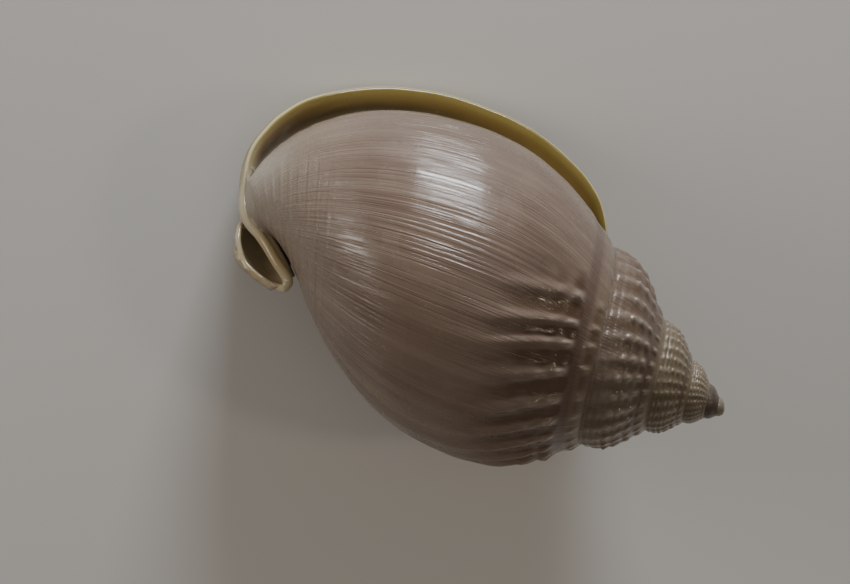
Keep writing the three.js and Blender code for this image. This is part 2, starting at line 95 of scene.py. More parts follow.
# Edge of the mouth: height, y, z, the way it faces, its size and how far it is rolled outward.
rimStops = [
    (35.0, 15.5, -13.0, (0.1, -0.6, -0.8), 2.6, 1.0),
    (33.2, 21.3, -11.5, (0.1, -0.5, -0.85), 3.6, 1.0),
    (36.2, 27.3, -12.0, (0.1, -0.5, -0.85), 5.3, 1.0),
    (41.0, 31.3, -13.0, (0.0, -0.5, -0.87), 6.7, 1.0),
    (52.3, 35.8, -15.5, (0.0, -0.5, -0.87), 8.2, 1.0),
    (65.0, 36.9, -16.6, (0.0, -0.5, -0.87), 8.6, 1.0),
    (76.1, 35.5, -16.0, (0.0, -0.5, -0.87), 8.6, 1.0),
    (88.6, 30.7, -14.0, (0.0, -0.45, -0.87), 8.2, 1.0),
    (97.8, 23.4, -11.5, (-0.2, -0.35, -0.87), 7.6, 1.0),
    (101.8, 13.8, -7.5, (-0.5, -0.3, -0.8), 5.6, 0.8),
    (100.4, 6.6, -3.8, (-0.8, -0.4, -0.4), 3.4, 0.4),
    (97.4, 1.6, 0.4, (-0.7, -0.6, 0.4), 2.3, 0.0),
    (93.6, -0.4, 3.6, (-0.5, -0.5, 0.7), 2.1, 0.0),
    (88.6, -3.9, 5.8, (-0.35, -0.5, 0.8), 2.1, 0.0),
    (84.9, -6.9, 6.5, (-0.1, -0.5, 0.85), 2.1, 0.0),
    (85.3, -9.0, 5.8, (-0.1, -0.5, 0.85), 1.7, 0.0),
    (88.3, -9.5, 4.3, (-0.2, 0.0, 1.0), 1.25, 0.0),
    (95.0, -7.4, 1.8, (-0.4, 0.0, 0.9), 1.1, 0.0),
    (98.0, -3.0, -1.0, (-0.8, 0.0, 0.6), 1.2, 0.0),
    (97.4, 0.6, -4.8, (-1.0, 0.1, 0.0), 1.5, 0.0),
    (92.0, 1.2, -9.2, (-0.6, 0.2, -0.7), 1.7, 0.0),
    (85.0, 1.4, -9.0, (-0.2, 0.3, -0.9), 1.0, 0.0),
]
rollSection = [
    (0, 0), (-0.13, -0.1), (-0.1, -0.22), (0.0, -0.42), (0.02, -0.72), (-0.78, -1.06),
    (-0.3, -1.12), (0.16, -1.0), (0.42, -0.9), (0.5, -0.62), (0.4, -0.3), (0.17, -0.05),
]

# Canal: its right rim, its floor and its left edge.
canalStops = [
    ((95.0, 13.5, -11.0), (89.5, 7.0, -4.0), (80.0, 3.5, -11.5)),
    ((98.6, 7.6, -6.6), (93.5, 4.5, -2.8), (90.5, 1.6, -9.4)),
    ((96.8, 1.9, -1.0), (92.5, 1.0, -3.0), (96.6, 0.0, -4.6)),
    ((93.6, -0.8, 2.6), (91.2, -2.4, -2.6), (96.4, -5.6, 0.6)),
    ((88.8, -4.4, 4.8), (88.6, -5.2, -0.4), (91.0, -8.2, 2.9)),
    ((86.0, -7.0, 5.3), (86.2, -7.2, 3.0), (87.4, -8.9, 4.8)),
]


def clamp(value, low, high):
    return min(max(value, low), high)


def mix(a, b, share):
    return a + (b - a) * share


def smooth(start, end, value):
    share = clamp((value - start) / (end - start), 0, 1)
    return share * share * (3 - 2 * share)


def hump(value, middle, width):
    return math.exp(-((value - middle) / width) ** 2)


# 1 between the two inner limits and 0 outside all four.
def between(limits, value):
    start, full, fading, end = limits
    return smooth(start, full, value) * (1 - smooth(fading, end, value))


def point(stop):
    return Vector((-stop[0], stop[1], stop[2]))


# A smooth curve through stops, and a number that follows them, both from 0 to 1.
def curvePoint(stops, along):
    last = len(stops) - 1
    k = min(int(along * last), last - 1)
    w = along * last - k
    b, c = stops[k], stops[k + 1]
    a = stops[k - 1] if k > 0 else 2 * b - c
    d = stops[k + 2] if k + 2 <= last else 2 * c - b
    ab, bc, cd = ((q - p).length ** 0.5 for p, q in ((a, b), (b, c), (c, d)))
    leave = ((b - a) / ab - (c - a) / (ab + bc) + (c - b) / bc) * bc
    arrive = ((c - b) / bc - (d - b) / (bc + cd) + (d - c) / cd) * bc
    squared = 3 * (c - b) - 2 * leave - arrive
    cubed = 2 * (b - c) + leave + arrive
    return b + leave * w + squared * w * w + cubed * w ** 3


def follow(values, along):
    place = along * (len(values) - 1)
    k = min(int(place), len(values) - 2)
    return mix(values[k], values[k + 1], place - k)


def grown(atTurnZero, bodyRate, spireRate, turn):
    return atTurnZero * bodyRate ** turn if turn > -1 else atTurnZero / bodyRate * spireRate ** (turn + 1)


def suture(turn):
    s = shell
    return s["sutureHeight"] * s["heightGrowth"] ** turn, s["sutureRadius"] * s["radiusGrowth"] ** turn


# Outline of one whorl, as height and radius.
def outline(turn, place):
    s = shell
    ownH, ownR = suture(turn)
    nextH, nextR = suture(turn + 1)
    middle = grown(s["bodyMiddle"], s["middleGrowth"], s["heightGrowth"], turn)
    widest = grown(s["bodyRadius"], s["bodyRadiusGrowth"], s["radiusGrowth"], turn)
    back = grown(s["bodyBack"], s["backGrowth"], s["heightGrowth"], turn)
    tip = mix(s["earlyTip"], s["lateTip"], smooth(-0.45, 0.02, turn)) if turn > -1 else middle + 2 * back
    bluntness = mix(s["earlyBluntness"], s["lateBluntness"], smooth(-0.5, 0, turn))
    front = tip - middle

    def radiusAt(h):
        u = clamp((h - middle) / (back if h < middle else front), -1, 1)
        return widest * (1 - u * u) ** (0.5 if h < middle else bluntness)

    h = mix(ownH, nextH, place)
    if place > 1:
        startAngle = math.asin(clamp((nextH - middle) / (back if nextH < middle else front), -1, 1))
        u = math.sin(mix(startAngle, math.radians(s["baseEndAngle"]), place - 1))
        h = middle + u * (back if u < 0 else front)
    inBand = min(place, 1)
    nearOwn = (1 - inBand) ** 2 * (1 + 2 * inBand)
    nearNext = inBand ** 2 * (3 - 2 * inBand) * (1 - smooth(1, 1.5, place))
    covered = 1 - smooth(s["lipTurn"] - 1, s["lipTurn"] - 0.8, turn)
    swell = s["spireSwell"] * s["heightGrowth"] ** turn * math.sin(math.pi * inBand) ** 2 * covered
    toOwn = (ownR - radiusAt(ownH)) * nearOwn
    toNext = (nextR - radiusAt(nextH)) * nearNext * covered
    return h, radiusAt(h) + swell + toOwn + toNext


# How far the spire has become the body whorl, from 0 to 1.
def intoBody(turn):
    return smooth(*fineRelief["bodyTurns"], turn)


# The folds are there from the third whorl on, and stop before the lip.
def foldsPresent(turn, place):
    stopping = smooth(*fineRelief["foldsTo"], turn + shell["foldSlant"] * place)
    return smooth(*fineRelief["foldsFrom"], turn) * (1 - stopping)


# Height of the folds from -1 to 1: sharp crests with wide valleys, a little uneven.
def foldWave(turn, place):
    start = turn + shell["foldSlant"] * place
    if start < latestFolds[0]:
        phase = (start - latestFolds[0]) * shell["foldsPerTurn"]
    elif start > latestFolds[-1]:
        phase = len(latestFolds) - 1 + (start - latestFolds[-1]) * shell["foldsPerTurn"]
    else:
        k = max(k for k in range(len(latestFolds) - 1) if start >= latestFolds[k])
        phase = k + (start - latestFolds[k]) / (latestFolds[k + 1] - latestFolds[k])
    phase += 0.1 * noise.noise(Vector((start * 31, place * 1.4, 4.2)))
    sharpness = mix(*fineRelief["foldSharpness"], intoBody(turn))
    crest = (0.5 + 0.5 * math.cos(2 * math.pi * phase)) ** sharpness
    strength = 0.95 + 0.4 * noise.noise(Vector((round(phase) * 1.7, 0.5, 9.1)))  # one value for each fold
    return (2 * crest - 1) * strength


# How strongly the rows of beads stand out here.
def beadReach(turn, place, width):
    onBody = smooth(-1.15, -0.85, turn)
    early = 1 - smooth(-2.2, -1.8, turn)
    best = 0
    for spirePlace, bodyPlace, bodyStrength, spireStrength, earlyStrength in beadRows:
        strength = mix(mix(spireStrength, earlyStrength, early), bodyStrength, onBody)
        best = max(best, strength * hump(place, mix(spirePlace, bodyPlace, onBody), width))
    return best


# The folds, the beads, the seam's cord and the channel beside it, added up.
def relief(turn, place):
    f = fineRelief
    if place <= 0:
        return 0
    size = shell["heightGrowth"] ** turn
    wave = foldWave(turn, place)
    grownOn = smooth(*f["foldsFrom"], turn)
    present = foldsPresent(turn, place)
    onBody = mix(*f["foldRunOut"], smooth(*f["foldRunOutTurns"], turn))
    runOut = onBody if turn > -1 else f["spireRunOut"]
    reach = smooth(*f["foldPlaces"], place) * (1 - smooth(f["foldFadesFrom"], runOut, place))
    reach *= mix(mix(1, f["shoulderFolds"], intoBody(turn)), 1, smooth(*f["shoulder"], place))
    lift = mix(f["foldLift"], -0.5, smooth(0.7, 1.0, place))  # toward the next suture only valleys are left
    folds = f["foldHeight"] * present * reach * (0.5 * wave + lift)
    folds *= mix(f["spireFolds"], 1, smooth(*f["spireFoldTurns"], turn))
    beads = f["beadHeight"] * present * beadReach(turn, place, f["beadWidth"]) * max(wave, -f["beadValley"])
    seam = f["seamHeight"] * grownOn * hump(place, f["seamPlace"], f["seamWidth"])
    channel = grownOn * hump(place, f["channelPlace"], f["channelWidth"])
    return size * (folds + beads + seam - mix(*f["channelDepth"], intoBody(turn)) * channel)


def around(h, r, turn):
    angle = -2 * math.pi * turn
    return Vector((-h, r * math.cos(angle), r * math.sin(angle)))


# Relief below the size of the folds: unevenness, rest marks, the spire's grooves and the cords of the base.
def fine(turn, place, at):
    f = fineRelief
    size = shell["heightGrowth"] ** max(turn, -1.0)
    away = smooth(0.02, 0.2, place)  # whorls have to meet at the suture
    uneven = f["uneven"] * noise.noise(at / f["unevenSize"])
    wander = 0.25 * noise.noise(Vector((turn * 9, place * 2.5, 1.7)))
    phase = (turn * f["growthSteps"] + wander * 4) % 1
    steps = f["growthStep"] * (phase - 0.5) * (0.4 + noise.noise(Vector((turn * 14, 0.3, place))))
    groove = 0.5 - 0.5 * math.cos(2 * math.pi * f["spiralCount"] * place)
    onSpire = between(f["spiralTurns"], turn) * smooth(*f["spiralPlaces"], place)
    uneven -= f["spiralDepth"] * onSpire * groove ** 3
    onBase = smooth(*f["baseCordPlaces"], place) * smooth(*f["baseCordTurns"], turn)
    cords = f["baseCords"] * onBase * math.cos(2 * math.pi * f["baseCordCount"] * place)
    return size * away * (uneven + steps) + cords


def shellPoint(turn, place):
    h, r = outline(turn, place)
    r += relief(turn, place)
    return around(h, r + fine(turn, place, around(h, r, turn)), turn)


rimLine = [point(stop) for stop in rimStops]


def rimAt(along):
    crest = curvePoint(rimLine, along)
    before, after = curvePoint(rimLine, max(along - 1e-4, 0)), curvePoint(rimLine, min(along + 1e-4, 1))
    ahead = (after - before).normalized()
    faces = Vector([follow([stop[3][axis] for stop in rimStops], along) for axis in range(3)])
    faces = (faces - ahead * faces.dot(ahead)).normalized()
    size = follow([stop[4] for stop in rimStops], along)
    roll = follow([stop[5] for stop in rimStops], along)
    return crest, faces, faces.cross(ahead), size, roll


# Below its last row the base runs to the edge of the mouth, and on its early part to the axis.
def basePoint(turn, share):
    s = shell
    stop = s["baseAtLip"] + s["basePerTurn"] * (s["lipTurn"] - max(turn, s["baseFirstTurn"]))
    crest, _, outward, size, roll = rimAt(stop / (len(rimStops) - 1))
    edge = crest - outward * s["baseTuck"] * size * (1 - roll)
    early = 1 - smooth(s["baseFirstTurn"] - s["baseBlend"], s["baseFirstTurn"], turn)
    return shellPoint(turn, 2).lerp(edge.lerp(Vector((-s["earlyTip"], 0, 0)), early), share)


# The outline moved out by a distance, square to its surface.
def outlineMoved(turn, place, distance):
    beforeH, beforeR = outline(turn, place - 0.01)
    afterH, afterR = outline(turn, place + 0.01)
    h, r = outline(turn, place)
    length = math.hypot(afterH - beforeH, afterR - beforeR)
    moved = r + distance * (afterH - beforeH) / length
    return h - distance * (afterR - beforeR) / length, max(moved, 0.8)


# A surface that is filled point by point. Each point keeps what it belongs to.
class Sheet:
    def __init__(self, name):
        self.name = name
        self.points = []
        self.notes = []
        self.faces = []
        self.known = {}

    def add(self, at, note=(0.0, 0.0)):
        key = (round(at.x, 4), round(at.y, 4), round(at.z, 4))
        if key not in self.known:
            self.known[key] = len(self.points)
            self.points.append(tuple(at))
            self.notes.append(note)
        return self.known[key]

    def face(self, a, b, c):
        if a != b and b != c and c != a:
            self.faces.append((a, b, c))

    def stitch(self, rowA, rowB):  # each row holds pairs of a turn and a point
        i = j = 0
        while i < len(rowA) - 1 or j < len(rowB) - 1:
            nextA = rowA[i + 1][0] if i < len(rowA) - 1 else math.inf
            nextB = rowB[j + 1][0] if j < len(rowB) - 1 else math.inf
            if nextA < nextB:
                self.face(rowA[i][1], rowA[i + 1][1], rowB[j][1])
                i += 1
            else:
                self.face(rowA[i][1], rowB[j + 1][1], rowB[j][1])
                j += 1

    def loops(self, loops):
        ids = [[self.add(at, (k / (len(loops) - 1), i / len(loop))) for i, at in enumerate(loop)]
               for k, loop in enumerate(loops)]
        for one, other in zip(ids, ids[1:]):
            for i in range(len(one)):
                n = (i + 1) % len(one)
                self.face(one[i], one[n], other[n])
                self.face(one[i], other[n], other[i])
        for loop, reverse in ((ids[0], True), (ids[-1], False)):
            middle = sum((Vector(self.points[k]) for k in loop), Vector()) / len(loop)
            centre = self.add(middle)
            for i in range(len(loop)):
                n = (i + 1) % len(loop)
                self.face(centre, loop[n], loop[i]) if reverse else self.face(centre, loop[i], loop[n])
        return self

    def object(self):
        mesh = bpy.data.meshes.new(self.name)
        mesh.from_pydata(self.points, [], self.faces)
        corners = np.array(self.points)[np.array(self.faces)]
        volume = np.einsum("ij,ij->i", corners[:, 0], np.cross(corners[:, 1], corners[:, 2])).sum()
        if volume < 0:
            mesh.flip_normals()
        piece = bpy.data.objects.new(self.name, mesh)
        bpy.context.scene.collection.objects.link(piece)
        return piece


def growthSteps():
    first, last = shell["firstTurn"], shell["lipTurn"]
    turns = [first]
    stretches = [(first, -4, "early"), (-4, -3, "fourth"), (-3, -2, "third"), (-2, last, "late")]
    for start, end, name in stretches:
        count = round((end - start) * fineness[name])
        turns += [min(start + (k + 1) / fineness[name], end) for k in range(count)]
    turns[-1] = last
    return turns


# The outside of all whorls, closed flat in the plane of the lip.
def makeWhorls():
    s = shell
    sheet = Sheet("whorls")
    steps = growthSteps()
    lastStart = s["lipTurn"] - 1
    apex = sheet.add(Vector((-s["apexHeight"], 0, 0)), (s["firstTurn"], 0))
    foot = sheet.add(point(s["columellaFoot"]), (lastStart, 2))
    gap = 0.001  # no two points of a row are closer than this, in turns

    def row(place, start):
        slid = [turn - s["foldSlant"] * place for turn in steps]
        turns = [start] + [t for t in slid if start + gap < t < s["lipTurn"] - gap] + [s["lipTurn"]]
        if start < lastStart:
            turns.append(lastStart)
        return [(turn, sheet.add(shellPoint(turn, place), (turn, place))) for turn in sorted(turns)]

    places = [k / fineness["bandRows"] for k in range(1, fineness["bandRows"])]
    sutureRow = row(0, s["firstTurn"] + 1)
    rows = [[(s["firstTurn"], apex)] + sutureRow]
    rows += [row(place, s["firstTurn"]) for place in places]
    rows.append([(turn - 1, k) for turn, k in sutureRow] + row(1, lastStart)[1:])
    for one, other in zip(rows, rows[1:]):
        sheet.stitch(one, other)

    count = fineness["baseSteps"]
    baseTurns = [lastStart + k / count for k in range(count)] + [s["lipTurn"]]
    base = [[entry for entry in rows[-1] if entry[0] >= lastStart - 1e-9]]
    for k in range(1, fineness["baseRows"] + 1):
        place = 1 + k / fineness["baseRows"]
        base.append([(turn, sheet.add(shellPoint(turn, place), (turn, place))) for turn in baseTurns])
    for k in range(1, fineness["tuckRows"] + 1):
        share = k / fineness["tuckRows"]
        base.append([(turn, sheet.add(basePoint(turn, share), (turn, 2 + share))) for turn in baseTurns])
    for one, other in zip(base, base[1:]):
        sheet.stitch(one, other)
    sheet.stitch(base[-1], [(lastStart, foot)])
    for one, other in zip(rows[1:], rows[2:]):
        sheet.face(apex, one[0][1], other[0][1])

    over = [entries[-1][1] for entries in rows + base[1:]] + [foot]
    under = [entries[0][1] for entries in base] + [foot]
    spread = [[(k / (len(ids) - 1), at) for k, at in enumerate(ids)] for ids in (under, over)]
    sheet.stitch(spread[0], spread[1])
    return sheet


# The shield beside the mouth. It sinks into the shell behind the lip.
shieldShape = {
    "thickness": 1.3, "edge": 0.5, "columella": 5.2, "columellaPlaces": (1.6, 1.95), "clearance": 0.03,
    "fromTurn": -1.0, "thinsFromTurn": -0.86, "toTurn": -0.685, "firstPlace": 0.92, "lastPlace": 1.97,
    "rise": 0.18, "sunk": -0.5, "sinkTurns": (-0.94, -0.89), "sinkPlaces": (1.0, 1.08),
    "inside": 1, "least": 0.4,  # how far its back lies below the surface, and its least thickness
}


def callus(turn, place):
    s = shieldShape
    across = clamp((turn - s["fromTurn"]) / (s["toTurn"] - s["fromTurn"]), 0, 1)
    thin = mix(s["thickness"], s["edge"], smooth(s["thinsFromTurn"], s["toTurn"], turn))
    swell = smooth(*s["columellaPlaces"], place) * max(math.sin(math.pi * across), 0) ** 0.6
    height = thin * smooth(s["firstPlace"], s["firstPlace"] + s["rise"], place) + s["columella"] * swell
    behindLip = (1 - smooth(*s["sinkTurns"], turn)) * (1 - smooth(*s["sinkPlaces"], place))
    return mix(height, s["sunk"], behindLip)


# The shield over the belly, with the columella at its front.
def makeShield():
    s = shieldShape
    loops = []
    for k in range(fineness["shieldPlaces"] + 1):
        place = mix(s["firstPlace"], s["lastPlace"], k / fineness["shieldPlaces"])
        top, under = [], []
        for i in range(fineness["shieldTurns"] + 1):
            turn = mix(s["fromTurn"], s["toTurn"], i / fineness["shieldTurns"])
            overH, overR = outlineMoved(turn, place, callus(turn, place))
            belowH, belowR = outlineMoved(turn, place, -s["inside"])
            top.append(around(overH, overR, turn))
            under.append(around(belowH, min(belowR, overR - s["least"]), turn))
        loops.append(top + under[::-1])
    return Sheet("shield").loops(loops)


# The hollow behind the mouth. Its inner side lies on the shield. Pairs are at the mouth and at the far end.
hollowShape = {
    "fromTurn": -0.56, "toTurn": 0.14, "narrowOver": 0.3, "narrowing": 2,
    "firstPlace": (0.16, 0.6), "lastPlace": (1.985, 1.6), "endMiddle": 1.3, "endSpread": 0.2,
}


def makeHollow():
    s, h = shieldShape, hollowShape
    sides, places = fineness["hollowSides"], fineness["shieldPlaces"]
    placeStep = (s["lastPlace"] - s["firstPlace"]) / places
    loops = []
    for k in range(fineness["hollowSteps"] + 1):
        along = k / fineness["hollowSteps"]
        turn = mix(h["fromTurn"], h["toTurn"], along)
        shut = 1 - smooth(0, h["narrowOver"], along)
        first, last = mix(*h["firstPlace"], shut), mix(*h["lastPlace"], shut)
        loop = []
        for i in range(sides + 1):
            under = -shell["wall"] - h["narrowing"] * shut
            loop.append(around(*outlineMoved(turn, mix(first, last, i / sides), under), turn))
        for i in range(places, places // 5 - 1, -1):
            place = mix(s["firstPlace"] + i * placeStep, h["endMiddle"] + h["endSpread"] * i / places, shut)
            above = callus(turn - 1, place) + s["clearance"] + h["narrowing"] * shut
            loop.append(around(*outlineMoved(turn - 1, place, above), turn))
        loops.append(loop)
    return Sheet("hollow").loops(loops)


# The rolled lip with its teeth, and the bead round the canal with its crinkled edge.
# Stops are counted along rimStops, from 0.
rimLook = {
    "toothCount": 21, "toothHeight": 0.55, "toothForward": 0.6, "toothPlace": 0.62, "toothWidth": 0.07,
    "toothStops": (1.2, 2.2, 9.2, 10.2),
    "crinkle": 0.35, "crinkleSize": 1.3, "crinkleStops": (15.5, 16.2, 18, 19),
    "uneven": 0.1, "unevenSize": 4,
    "beadWide": 0.42, "beadHigh": 0.5,  # half sizes of the bead where nothing is rolled
}


def makeRim():
    r = rimLook
    steps, sides = fineness["rimSteps"], fineness["sectionSteps"]
    section = [Vector((a, b, 0)) for a, b in rollSection]
    overlap = 3
    ring = section[-overlap:] + section + section[:overlap]
    loops = []
    for k in range(steps + 1):
        along = k / steps
        crest, faces, outward, size, roll = rimAt(along)
        stop = along * (len(rimStops) - 1)
        toothed = between(r["toothStops"], stop)
        toothPhase = smooth(r["toothStops"][0], r["toothStops"][-1], stop)
        wave = max(math.cos(2 * math.pi * r["toothCount"] * toothPhase), 0) ** 1.5
        ragged = between(r["crinkleStops"], stop)
        loop = []
        for i in range(sides):
            turnShare = i / sides
            onRing = curvePoint(ring, (overlap + turnShare * len(section)) / (len(ring) - 1))
            angle = 2 * math.pi * turnShare
            forward = mix(-r["beadWide"] * math.sin(angle), onRing.x, roll)
            out = mix(-r["beadHigh"] + r["beadHigh"] * math.cos(angle), onRing.y, roll)
            at = crest + faces * size * forward + outward * size * out
            inner = hump(turnShare, r["toothPlace"], r["toothWidth"])
            at -= outward * r["toothHeight"] * toothed * wave * inner
            at += faces * r["toothHeight"] * r["toothForward"] * toothed * wave * inner
            broken = noise.noise(at / r["crinkleSize"])
            at += outward * r["crinkle"] * ragged * broken * smooth(0, 0.4, math.cos(angle))
            at += outward * r["uneven"] * (noise.noise(at / r["unevenSize"]) - 0.5)
            loop.append(at)
        loops.append(loop)
    return Sheet("rim").loops(loops)


# The canal, once as its wall and once as the space that is cut out of it.
canalLook = {"wall": 1.3, "wallAbove": 0.8, "spaceAbove": 2.5, "topWidth": 0.8, "leastEnd": 0.05}


def makeCanal(inside):
    c = canalLook
    lines = [[point(stop[k]) for stop in canalStops] for k in range(3)]
    loops = []
    for k in range(fineness["canalSteps"] + 1):
        along = k / fineness["canalSteps"]
        right, floorPoint, left = (curvePoint(line, along) for line in lines)
        middle = (right + left) / 2
        half, deep = right - middle, floorPoint - middle
        closing = math.sqrt(max(1 - along ** 6, c["leastEnd"]))
        widen = closing if inside else 1 + c["wall"] / half.length
        deepen = closing if inside else 1 + c["wall"] / deep.length
        loop = []
        for i in range(fineness["canalSides"] + 1):
            angle = math.pi * i / fineness["canalSides"]
            loop.append(middle + half * widen * math.cos(angle) + deep * deepen * math.sin(angle))
        above = deep.normalized() * -(c["spaceAbove"] if inside else c["wallAbove"])
        loop += [middle - half * c["topWidth"] + above, middle + half * c["topWidth"] + above]
        loops.append(loop)
    return Sheet("canalInside" if inside else "canalOutside").loops(loops)


# Joins another piece to this one, or cuts it out.
def combine(piece, other, operation):
    tool = piece.modifiers.new(other.name, "BOOLEAN")
    tool.operation = operation
    tool.solver = "MANIFOLD"
    tool.object = other
    bpy.context.view_layer.update()
    evaluated = piece.evaluated_get(bpy.context.evaluated_depsgraph_get())
    merged = bpy.data.meshes.new_from_object(evaluated)
    piece.modifiers.clear()
    piece.data = merged
    print("shell:", operation.lower(), "with", other.name, "gives", len(merged.vertices), "points")
    bpy.data.objects.remove(other)


rest = Vector(shell["restUp"]).normalized().rotation_difference(Vector((0, 0, 1))).to_matrix()
origin = Vector((50.17713, -4.87180, 31.86288))  # where the drawing's zero lies in the part's frame
toPart = Matrix.Translation(origin / 1000) @ rest.to_4x4() @ Matrix.Scale(0.001, 4)


# Marks that the finish reads, worked out for every point of the joined shell.
marksLook = {
    "foldPlaces": (0.16, 0.24, 0.55, 1.3), "foldShare": 0.35, "beadShare": 0.65, "beadWidening": 1.3,
    "seamPlace": 0.04, "seamWidth": 0.04,
    "buried": (0.345, 0.46),       # the part of the lip's section that lies inside the body
    "lipFace": 0.7, "beadStops": (9.5, 11),
    "softened": ("lip", "canal", "mouth", "shield", "bead"), "softenings": 4,  # they blend at their edges
}


def writeMarks(piece, sheets):
    print("shell: writing the marks for the finish")
    look = marksLook
    names = [sheet.name for sheet in sheets]
    total = sum(len(sheet.points) for sheet in sheets)
    nearest = kdtree.KDTree(total)
    onWhorls = kdtree.KDTree(len(sheets[0].points))
    notes = []
    for index, sheet in enumerate(sheets):
        for at, note in zip(sheet.points, sheet.notes):
            nearest.insert(at, len(notes))
            if index == 0:
                onWhorls.insert(at, len(notes))
            notes.append((names[index], note))
    nearest.balance()
    onWhorls.balance()
    keys = ("growth", "across", "fold", "cord", "lip", "lipBack", "canal", "mouth", "shield", "bead")
    marks = {key: [] for key in keys}
    rolls = [stop[5] for stop in rimStops]
    for vertex in piece.data.vertices:
        name, note = notes[nearest.find(vertex.co)[1]]
        turn, across = notes[onWhorls.find(vertex.co)[1]][1]
        wave = foldWave(turn, across)
        beads = beadReach(turn, across, fineRelief["beadWidth"] * look["beadWidening"])
        shares = look["foldShare"] * between(look["foldPlaces"], across) + look["beadShare"] * beads
        seam = hump(across, look["seamPlace"], look["seamWidth"]) * smooth(*fineRelief["foldsFrom"], turn)
        onRim = name == "rim"
        buried = look["buried"][0] < note[1] < look["buried"][1]
        marks["growth"].append(turn)
        marks["across"].append(across)
        # The fold mark follows the folds and beads; the finish paints a highlight on their crests and shade
        # in their valleys.
        marks["fold"].append(0.5 + 0.5 * foldsPresent(turn, across) * wave * shares)
        marks["cord"].append(seam * (0.5 + 0.5 * max(wave, 0)))
        marks["lip"].append(follow(rolls, note[0]) if onRim and not buried else 0.0)
        marks["lipBack"].append(note[1] if onRim and note[1] < look["lipFace"] else 0.0)
        marks["bead"].append(smooth(*look["beadStops"], note[0] * (len(rimStops) - 1)) if onRim else 0.0)
        marks["canal"].append(1.0 if name == "canalInside" else 0.0)
        marks["mouth"].append(1.0 if name == "hollow" else 0.0)
        marks["shield"].append(1.0 if name == "shield" else 0.0)
    edges = np.empty(len(piece.data.edges) * 2, int)
    piece.data.edges.foreach_get("vertices", edges)
    edges = edges.reshape(-1, 2)
    degree = np.bincount(edges.ravel(), minlength=len(piece.data.vertices)).astype(float)
    for key, values in marks.items():
        values = np.array(values)
        for _ in range(look["softenings"] if key in look["softened"] else 0):
            sums = np.bincount(edges[:, 0], values[edges[:, 1]], len(values))
            sums += np.bincount(edges[:, 1], values[edges[:, 0]], len(values))
            values = 0.5 * values + 0.5 * sums / np.maximum(degree, 1)
        layer = piece.data.attributes.new(key, "FLOAT", "POINT")
        layer.data.foreach_set("value", values.astype(np.float32))


def makeShell():
    whorls, canalOutside, canalInside = makeWhorls(), makeCanal(False), makeCanal(True)
    shield, rim, hollow = makeShield(), makeRim(), makeHollow()
    piece = whorls.object()
    combine(piece, canalOutside.object(), "UNION")
    combine(piece, shield.object(), "UNION")
    combine(piece, canalInside.object(), "DIFFERENCE")
    combine(piece, rim.object(), "UNION")
    combine(piece, hollow.object(), "DIFFERENCE")
    writeMarks(piece, [whorls, canalOutside, canalInside, shield, rim, hollow])
    piece.name = "bonnetShell"
    piece.data.name = "bonnetShell"
    piece.data.transform(toPart)
    heights = np.empty(len(piece.data.vertices) * 3)
    piece.data.vertices.foreach_get("co", heights)
    heights = heights.reshape(-1, 3)
    heights[:, 2] = np.maximum(heights[:, 2], 0)  # the worn flats that it rests on
    piece.data.vertices.foreach_set("co", heights.ravel())
    piece.data.shade_smooth()
    print("shell:", len(piece.data.polygons), "faces")
    return piece


# Shader helpers: each adds one node and links what it is given.
def addNode(tree, kind, values=None, **settings):
    node = tree.nodes.new(kind)
    for key, value in settings.items():
        setattr(node, key, value)
    for key, value in (values or {}).items():
        if isinstance(value, bpy.types.NodeSocket):
            tree.links.new(value, node.inputs[key])
        else:
            node.inputs[key].default_value = value
    return node


def mark(tree, name):
    return addNode(tree, "ShaderNodeAttribute", attribute_name=name).outputs["Fac"]


def blend(tree, share, a, b, kind="MIX"):
    node = addNode(tree, "ShaderNodeMix", data_type="RGBA", blend_type=kind)
    for socket, value in ((node.inputs[0], share), (node.inputs[6], a), (node.inputs[7], b)):
        if isinstance(value, bpy.types.NodeSocket):
            tree.links.new(value, socket)
        else:
            socket.default_value = value
    return node.outputs[2]


def remap(tree, value, low, high, toLow=0.0, toHigh=1.0):
    node = addNode(tree, "ShaderNodeMapRange", interpolation_type="SMOOTHSTEP", values={
        "Value": value, "From Min": low, "From Max": high, "To Min": toLow, "To Max": toHigh})
    return node.outputs["Result"]


def maths(tree, operation, a, b=0.5):
    node = addNode(tree, "ShaderNodeMath", operation=operation)
    for socket, value in zip(node.inputs, (a, b)):
        if isinstance(value, bpy.types.NodeSocket):
            tree.links.new(value, socket)
        else:
            socket.default_value = value
    return node.outputs[0]


# Noise that follows the shell's growth.
def pattern(tree, growth, across, alongScale, acrossScale, detail, rough=0.55):
    spot = addNode(tree, "ShaderNodeCombineXYZ", values={
        "X": maths(tree, "MULTIPLY", growth, alongScale), "Y": maths(tree, "MULTIPLY", across, acrossScale)})
    return addNode(tree, "ShaderNodeTexNoise", values={
        "Vector": spot.outputs[0], "Scale": 1.0, "Detail": detail, "Roughness": rough}).outputs["Fac"]


# Noise in all directions alike.
def blotches(tree, scale, detail):
    spot = addNode(tree, "ShaderNodeTexCoord").outputs["Object"]
    return addNode(tree, "ShaderNodeTexNoise", values={
        "Vector": spot, "Scale": scale, "Detail": detail}).outputs["Fac"]


